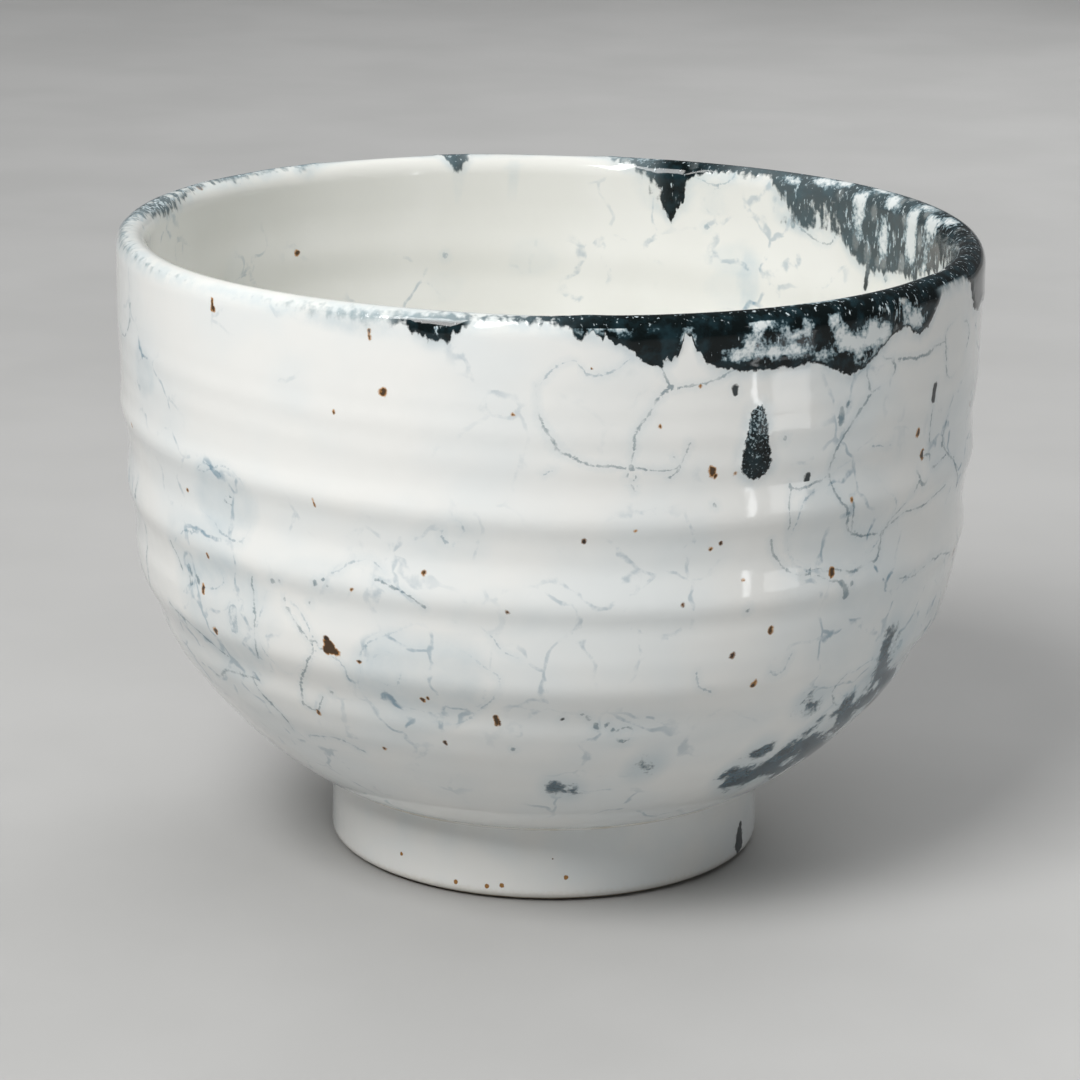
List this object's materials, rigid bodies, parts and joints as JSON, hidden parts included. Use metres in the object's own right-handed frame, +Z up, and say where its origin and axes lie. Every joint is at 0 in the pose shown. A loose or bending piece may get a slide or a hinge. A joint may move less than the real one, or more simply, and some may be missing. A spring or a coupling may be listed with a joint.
{
  "type": "matcha bowl",
  "caption": "Stoneware tea bowl with an upright thrown wall, a rounded belly and a tall foot ring, in white glaze with a blue-black dipped rim, for whisking and drinking matcha.",
  "frame": {"origin": "on the ground plane, under the middle of the foot ring's resting rim", "axes": "+Z up along the bowl's axis; the bowl is turned, so +X and +Y are free, and -Y is taken as its front, the side with the dark oval drip"},
  "size_m": [0.1158, 0.1158, 0.085],
  "materials": {
    "clay": "bare fired stoneware, matte and slightly gritty",
    "slip": "smooth luting slip with a soft sheen",
    "white_glaze": "gloss white glaze with slate-blue bubble outlines, cobalt pools and iron specks",
    "cream_glaze": "gloss warm white glaze",
    "dark_glaze": "gloss blue-black glaze with a fine white mottle, run down in short drips"
  },
  "bodies": {
    "root": {"bowl_body": "clay", "foot_ring": "clay", "joint_slip": "slip", "outer_glaze": "white_glaze", "inner_glaze": "cream_glaze", "lip_glaze": "dark_glaze", "foot_glaze": "white_glaze", "base_glaze": "white_glaze"}
  },
  "joints": []
}
